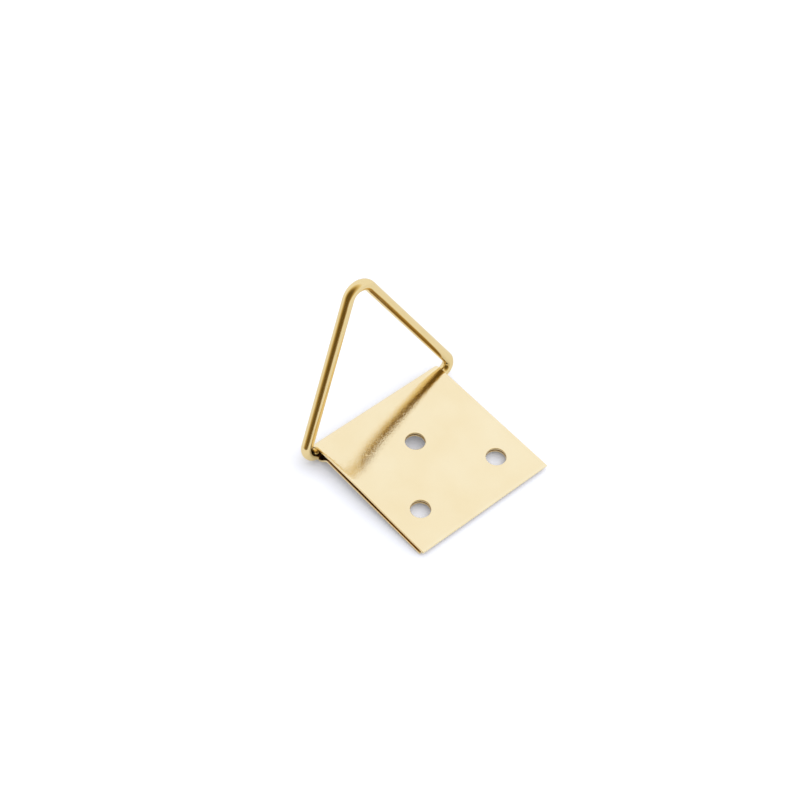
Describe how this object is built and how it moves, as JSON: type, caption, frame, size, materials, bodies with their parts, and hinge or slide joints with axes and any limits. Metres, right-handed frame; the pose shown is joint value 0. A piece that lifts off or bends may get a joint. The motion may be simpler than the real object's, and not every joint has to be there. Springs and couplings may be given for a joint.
{
  "type": "folding picture hanger",
  "caption": "Small brass-plated picture hanger: a punched sheet folded over the base of a swinging triangular wire ring.",
  "frame": {"origin": "on the outer face of the back leaf, halfway down the leaf's depth and midway across its width", "axes": "+Z out of the front leaf, square to the flat leaves; +X along the fold; +Y from the leaves' free edge to the fold and the ring"},
  "size_m": [0.0242, 0.0252, 0.0206],
  "materials": {
    "plated_sheet": "smooth brass-plated steel sheet",
    "plated_wire": "bright brass-plated steel wire"
  },
  "bodies": {
    "plate": {"folded_plate": "plated_sheet"},
    "ring": {"triangle_ring": "plated_wire"}
  },
  "joints": [
    {"name": "ring_swing", "type": "hinge", "parent": "plate", "child": "ring", "pos_m": [0, 0.00974, -0.00038], "axis": [1, 0, 0], "range_deg": [-246, 70]}
  ]
}
